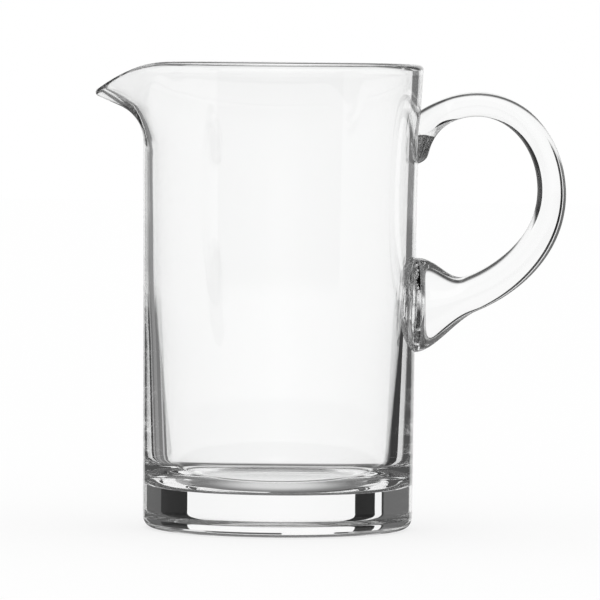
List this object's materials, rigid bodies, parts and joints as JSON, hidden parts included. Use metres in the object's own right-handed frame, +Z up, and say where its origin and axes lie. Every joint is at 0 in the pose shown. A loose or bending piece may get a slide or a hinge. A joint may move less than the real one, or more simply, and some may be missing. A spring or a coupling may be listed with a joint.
{
  "type": "beer pitcher",
  "caption": "Clear glass pitcher with a heavy solid base, near-straight sides, a pulled pouring lip and a pressed-on loop handle.",
  "frame": {"origin": "on the body's axis, in the plane of the table the foot stands on", "axes": "+Z up along the body's axis, -X towards the pouring lip, +X towards the handle, Y across the pitcher"},
  "size_m": [0.2028, 0.1224, 0.2],
  "materials": {
    "clear_glass": "clear and fire-polished"
  },
  "bodies": {
    "root": {"body": "clear_glass", "handle": "clear_glass"}
  },
  "joints": []
}
